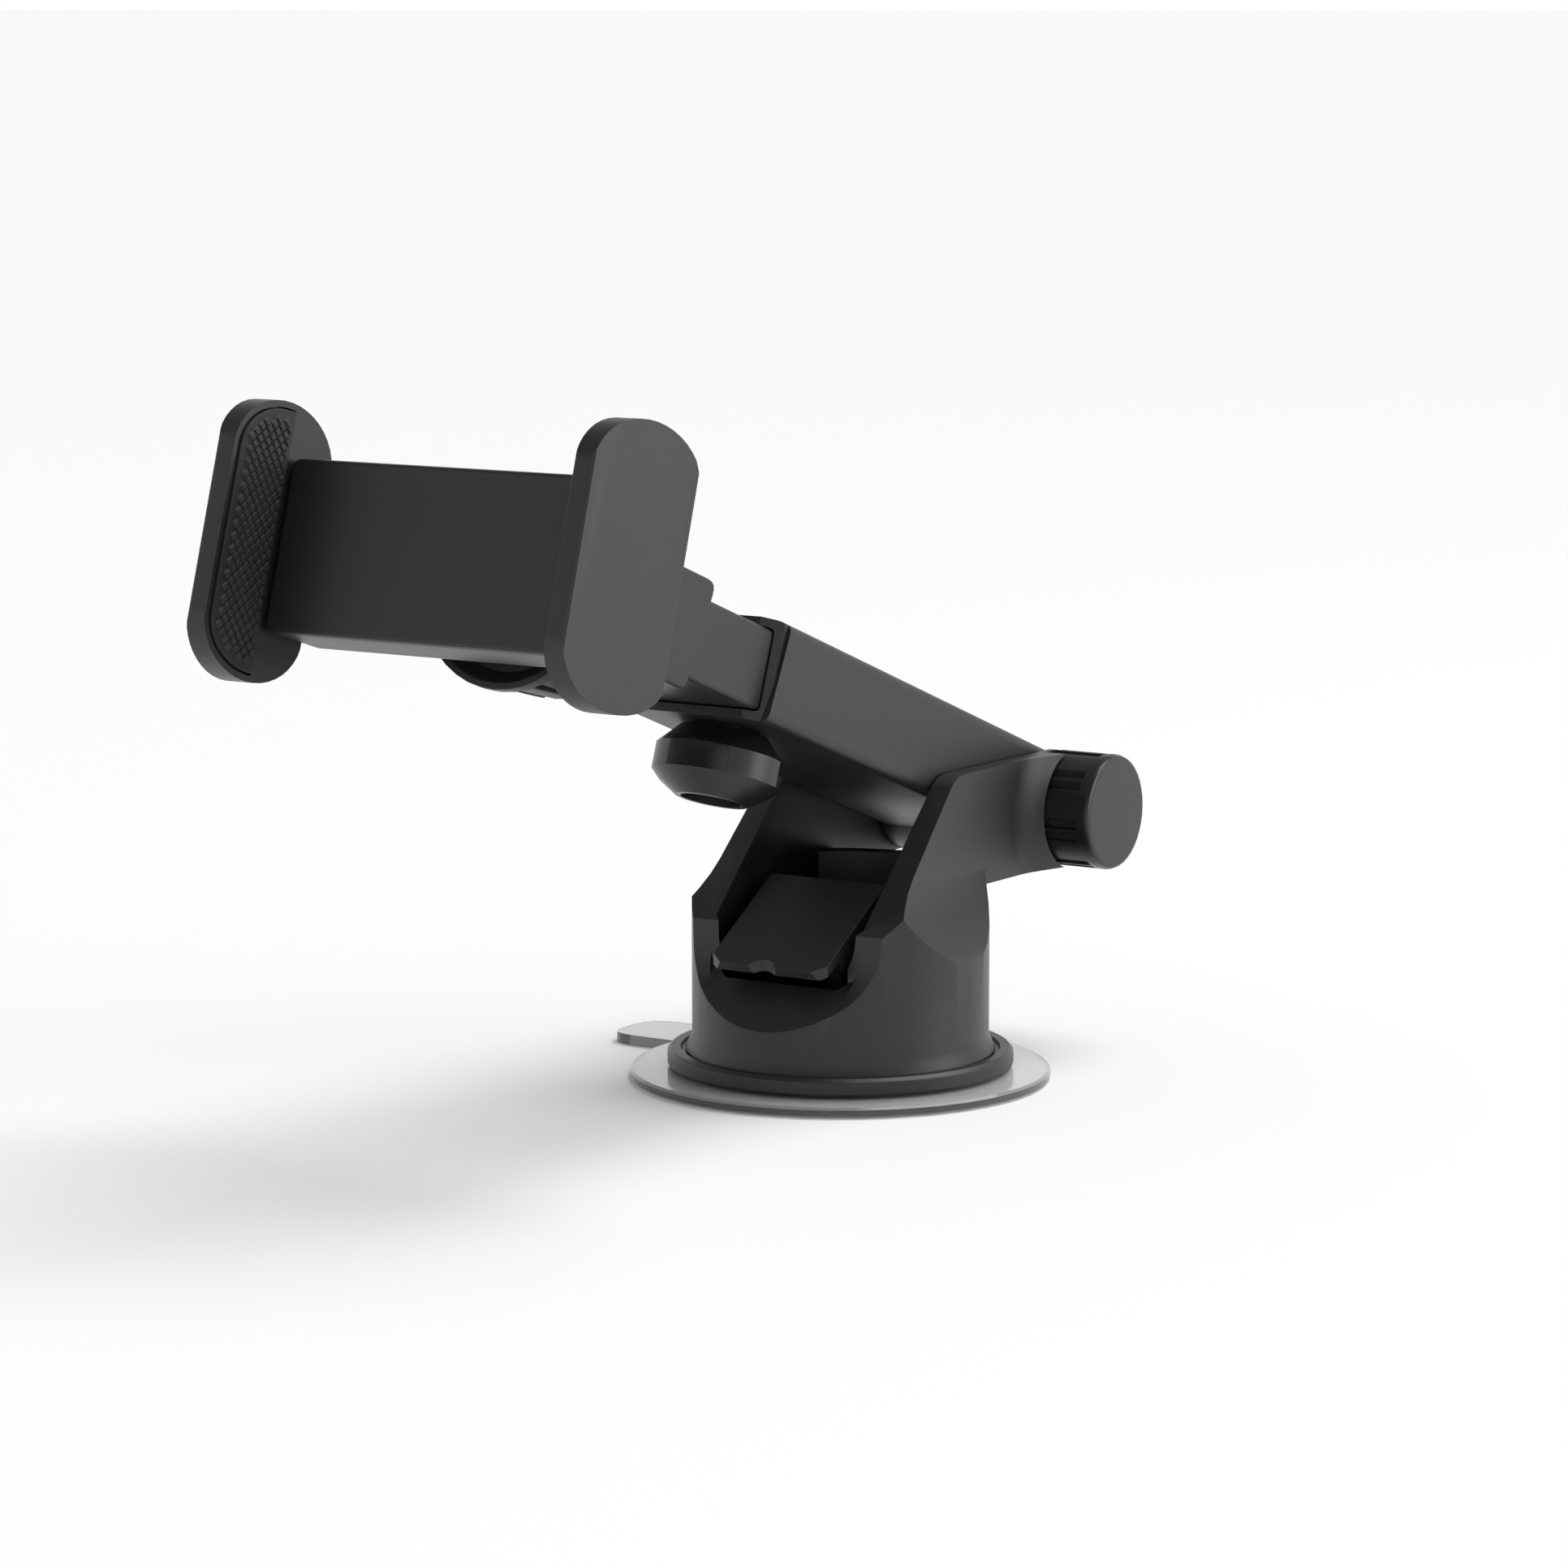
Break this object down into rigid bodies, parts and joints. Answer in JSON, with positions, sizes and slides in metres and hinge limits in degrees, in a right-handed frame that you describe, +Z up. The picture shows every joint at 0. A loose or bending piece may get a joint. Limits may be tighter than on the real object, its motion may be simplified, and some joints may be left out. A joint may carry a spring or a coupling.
{
  "type": "car phone mount",
  "caption": "Suction-cup phone holder with a locking base, a pivoting telescopic arm, a ball joint and a cradle with two sprung jaws.",
  "frame": {"origin": "centre of the suction pad's underside", "axes": "+Z up from the mounting surface, -Y the way the arm reaches out and the phone faces, +X the side of the arm's pivot knob"},
  "size_m": [0.0857, 0.1794, 0.118],
  "materials": {
    "black_plastic": "satin moulded",
    "clear_gel": "clear soft gel",
    "rubber": "soft, diamond pattern on the jaw pads",
    "steel": "plated",
    "brass": "plain",
    "nylon": "natural nylon"
  },
  "bodies": {
    "base": {"suction_pad": "clear_gel", "base_ring": "black_plastic", "base_body": "black_plastic", "ring_screw_1": "steel", "ring_screw_2": "steel", "ring_screw_3": "steel", "pivot_bolt": "steel"},
    "stem": {"plunger_stem": "black_plastic", "lever_pin": "steel"},
    "lever": {"lock_lever": "black_plastic"},
    "pivot_hand_knob": {"pivot_knob": "black_plastic", "pivot_nut": "steel"},
    "arm": {"outer_arm": "black_plastic", "friction_washer_left": "rubber", "friction_washer_right": "rubber", "clamp_insert": "brass", "clamp_shoe": "nylon"},
    "clamp": {"clamp_knob": "black_plastic", "clamp_screw": "steel"},
    "inner": {"inner_arm": "black_plastic", "arm_head": "black_plastic", "head_screw": "steel", "ball_stud": "steel", "stud_nut": "steel"},
    "liner": {"ball_liner": "nylon"},
    "cup": {"socket_cup": "black_plastic"},
    "cradle": {"tray_back": "black_plastic", "tray_front": "black_plastic", "tray_screw_1": "steel", "tray_screw_2": "steel", "left_jaw_spring": "steel", "right_jaw_spring": "steel"},
    "ring": {"ring_nut": "black_plastic"},
    "jaw_left": {"left_jaw": "black_plastic", "left_jaw_pad": "rubber"},
    "jaw_right": {"right_jaw": "black_plastic", "right_jaw_pad": "rubber"},
    "pinion": {"jaw_pinion": "nylon"}
  },
  "joints": [
    {"name": "lever_turn", "type": "hinge", "parent": "stem", "child": "lever", "pos_m": [0, 0, 0.022], "axis": [-1, 0, 0], "range_deg": [0, 50]},
    {"name": "stem_slide", "type": "slide", "parent": "base", "child": "stem", "axis": [0, 0, 1], "range_m": [-0.00098, 0]},
    {"name": "arm_pivot", "type": "hinge", "parent": "base", "child": "arm", "pos_m": [0, 0.0431, 0.0411], "axis": [-1, 0, 0], "range_deg": [-8, 100]},
    {"name": "pivot_knob_turn", "type": "hinge", "parent": "base", "child": "pivot_hand_knob", "pos_m": [0, 0.0431, 0.0411], "axis": [1, 0, 0], "range_deg": [0, 360]},
    {"name": "arm_extend", "type": "slide", "parent": "arm", "child": "inner", "axis": [0, -0.9391, 0.3437], "range_m": [-0.012, 0.04]},
    {"name": "clamp_knob_turn", "type": "hinge", "parent": "arm", "child": "clamp", "pos_m": [0, -0.03632, 0.05685], "axis": [0, 0.3437, 0.9391], "range_deg": [0, 360]},
    {"name": "head_tilt", "type": "hinge", "parent": "inner", "child": "liner", "pos_m": [0, -0.08045, 0.08759], "axis": [1, 0, 0], "range_deg": [-15, 15]},
    {"name": "head_pan", "type": "hinge", "parent": "liner", "child": "cup", "pos_m": [0, -0.08045, 0.08759], "axis": [0, 0.2924, 0.9563], "range_deg": [-15, 15]},
    {"name": "head_roll", "type": "hinge", "parent": "cup", "child": "cradle", "pos_m": [0, -0.08045, 0.08759], "axis": [0, -0.9563, 0.2924], "continuous": true},
    {"name": "ring_nut_turn", "type": "hinge", "parent": "cradle", "child": "ring", "pos_m": [0, -0.08045, 0.08759], "axis": [0, -0.9563, 0.2924], "range_deg": [0, 360]},
    {"name": "left_jaw_slide", "type": "slide", "parent": "cradle", "child": "jaw_left", "axis": [-1, 0, 0], "range_m": [0, 0.012], "stiffness_N_per_m": 200, "springref_m": -0.02},
    {"name": "right_jaw_slide", "type": "slide", "parent": "cradle", "child": "jaw_right", "axis": [1, 0, 0], "range_m": [0, 0.012]},
    {"name": "pinion_spin", "type": "hinge", "parent": "cradle", "child": "pinion", "pos_m": [0, -0.08045, 0.08759], "axis": [0, -0.9563, 0.2924], "range_deg": [-138, 0]}
  ],
  "couplings": [
    {"joint": "lever_turn", "follows": "stem_slide", "rad_per_m": -890},
    {"joint": "right_jaw_slide", "follows": "left_jaw_slide", "ratio": 1},
    {"joint": "pinion_spin", "follows": "left_jaw_slide", "rad_per_m": -200}
  ]
}
